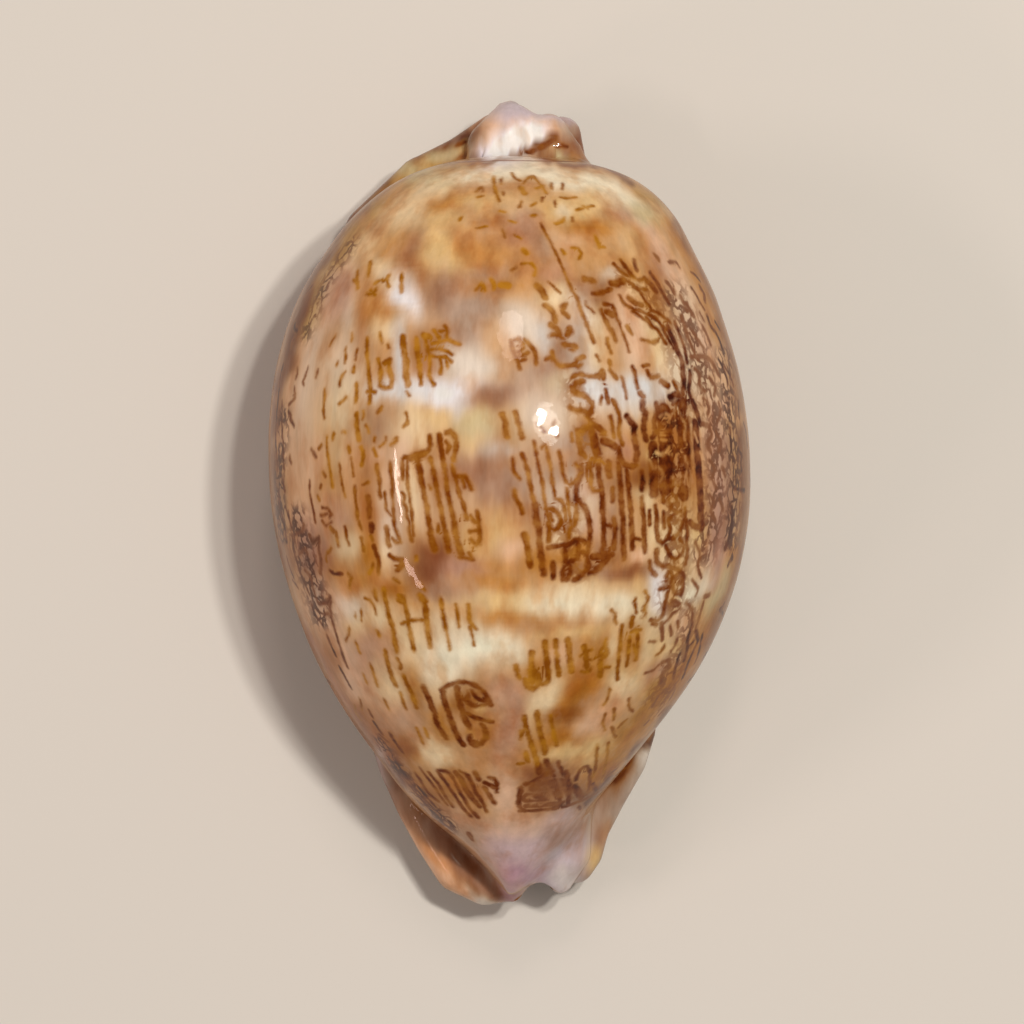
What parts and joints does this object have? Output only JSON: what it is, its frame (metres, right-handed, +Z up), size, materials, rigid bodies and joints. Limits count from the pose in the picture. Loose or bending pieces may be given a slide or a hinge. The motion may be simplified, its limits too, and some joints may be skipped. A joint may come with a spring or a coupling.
{
  "type": "cowrie shell",
  "caption": "Glossy egg-shaped cowrie shell with a mottled brown and cream back, raised end lobes and a toothed slit below.",
  "frame": {"origin": "centre of the footprint, on the surface that the shell rests on", "axes": "+Z up through the back, +Y to the posterior (spire) end, +X to the columellar side; the outer lip is on the -X side"},
  "size_m": [0.0416, 0.0702, 0.033],
  "materials": {
    "shell": "natural aragonite shell with a high porcelain gloss: cream and honey ground with brown broken lines"
  },
  "bodies": {
    "root": {"shell": "shell"}
  },
  "joints": []
}
